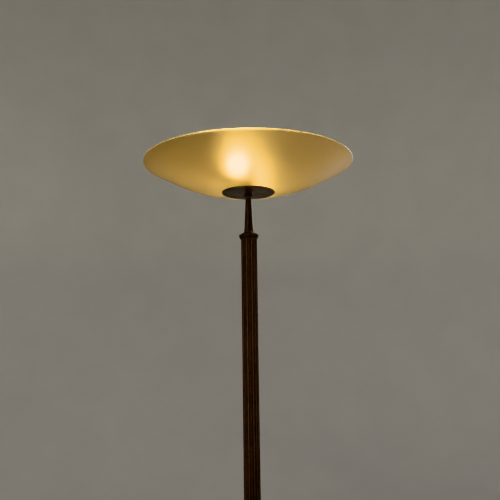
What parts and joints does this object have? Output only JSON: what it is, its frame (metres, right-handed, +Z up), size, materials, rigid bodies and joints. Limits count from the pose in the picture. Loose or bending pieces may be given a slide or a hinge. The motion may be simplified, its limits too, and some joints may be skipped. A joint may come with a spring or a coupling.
{
  "type": "torchiere floor lamp",
  "caption": "Floor lamp that throws light upward from a shallow satin glass bowl, on a tapered neck, a fluted column and a round weighted base.",
  "frame": {"origin": "centre of the felt's underside, on the floor", "axes": "+Z up along the column; the foot switch faces -Y and the cord inlet faces +Y"},
  "size_m": [0.4636, 0.4636, 1.8023],
  "materials": {
    "dark_bronze": "dark bronze patina with a soft sheen, rubbed lighter on edges and flute ridges",
    "satin_brass": "satin, lacquered",
    "zinc_steel": "zinc plated",
    "grey_iron": "as cast, painted",
    "dark_felt": "pressed wool felt",
    "black_rubber": "matte",
    "satin_glass": "warm champagne, satin etched, polished rim",
    "black_phenolic": "moulded phenolic",
    "white_ceramic": "unglazed steatite",
    "nylon": "natural nylon",
    "contact_brass": "bright stamped",
    "nickel_cap": "nickel-plated, satin",
    "frosted_bulb": "frosted, lit",
    "filament_wire": "tungsten on a glass mount",
    "brown_wire": "PVC insulation",
    "blue_wire": "PVC insulation"
  },
  "bodies": {
    "lamp": {"arm_pipes": "zinc_steel", "base_cover": "dark_bronze", "base_felt": "dark_felt", "base_pipe": "zinc_steel", "base_spacer": "zinc_steel", "base_washer": "zinc_steel", "base_weight": "grey_iron", "bottom_plate": "zinc_steel", "bottom_plate_screws": "zinc_steel", "clamp_plate": "zinc_steel", "cluster_body": "satin_brass", "cluster_cap": "satin_brass", "cluster_terminal": "nylon", "cord_inlet_bush": "black_rubber", "foot_collar": "dark_bronze", "front_holder_contact": "contact_brass", "front_holder_insulator": "white_ceramic", "front_holder_shell": "black_phenolic", "front_holder_sleeve": "contact_brass", "front_holder_wires": "brown_wire", "glass_bowl": "satin_glass", "inner_gasket": "black_rubber", "joint_pipe": "zinc_steel", "live_wire": "brown_wire", "lower_tube": "dark_bronze", "lower_tube_foot_plug": "zinc_steel", "lower_tube_head_plug": "zinc_steel", "neck": "dark_bronze", "neck_hub": "dark_bronze", "neck_pipe": "zinc_steel", "neutral_wire": "blue_wire", "outer_gasket": "black_rubber", "pipe_locknuts": "zinc_steel", "rear_holder_contact": "contact_brass", "rear_holder_insulator": "white_ceramic", "rear_holder_shell": "black_phenolic", "rear_holder_sleeve": "contact_brass", "rear_holder_wires": "brown_wire", "shade_disc": "dark_bronze", "switch_feed_wire": "brown_wire", "switch_housing": "black_phenolic", "switch_ring": "dark_bronze", "switch_spring": "zinc_steel", "switch_tabs": "contact_brass", "terminal_block": "nylon", "top_collar": "dark_bronze", "upper_tube": "dark_bronze", "upper_tube_foot_plug": "zinc_steel", "upper_tube_head_plug": "zinc_steel"},
    "switch_button": {"switch_button": "black_phenolic", "switch_bridge": "contact_brass"},
    "front_bulb_cap": {"front_bulb_cap": "nickel_cap", "front_bulb_contact": "contact_brass"},
    "front_bulb": {"front_bulb_glass": "frosted_bulb", "front_bulb_filament": "filament_wire"},
    "rear_bulb_cap": {"rear_bulb_cap": "nickel_cap", "rear_bulb_contact": "contact_brass"},
    "rear_bulb": {"rear_bulb_glass": "frosted_bulb", "rear_bulb_filament": "filament_wire"}
  },
  "joints": [
    {"name": "switch_press", "type": "slide", "parent": "lamp", "child": "switch_button", "axis": [0, 0, -1], "range_m": [0, 0.004], "stiffness_N_per_m": 500, "springref_m": -0.002, "deforming": ["switch_spring"]},
    {"name": "front_bulb_travel", "type": "slide", "parent": "lamp", "child": "front_bulb_cap", "axis": [-0.2696, -0.9403, 0.2079], "range_m": [0, 0.01128]},
    {"name": "front_bulb_turn", "type": "hinge", "parent": "front_bulb_cap", "child": "front_bulb", "pos_m": [0, 0, 1.76], "axis": [-0.2696, -0.9403, 0.2079], "range_deg": [0, 1440]},
    {"name": "rear_bulb_travel", "type": "slide", "parent": "lamp", "child": "rear_bulb_cap", "axis": [0.2696, 0.9403, 0.2079], "range_m": [0, 0.01128]},
    {"name": "rear_bulb_turn", "type": "hinge", "parent": "rear_bulb_cap", "child": "rear_bulb", "pos_m": [0, 0, 1.76], "axis": [0.2696, 0.9403, 0.2079], "range_deg": [0, 1440]}
  ],
  "couplings": [
    {"joint": "front_bulb_travel", "follows": "front_bulb_turn", "m_per_rad": 0.00044882},
    {"joint": "rear_bulb_travel", "follows": "rear_bulb_turn", "m_per_rad": 0.00044882}
  ]
}
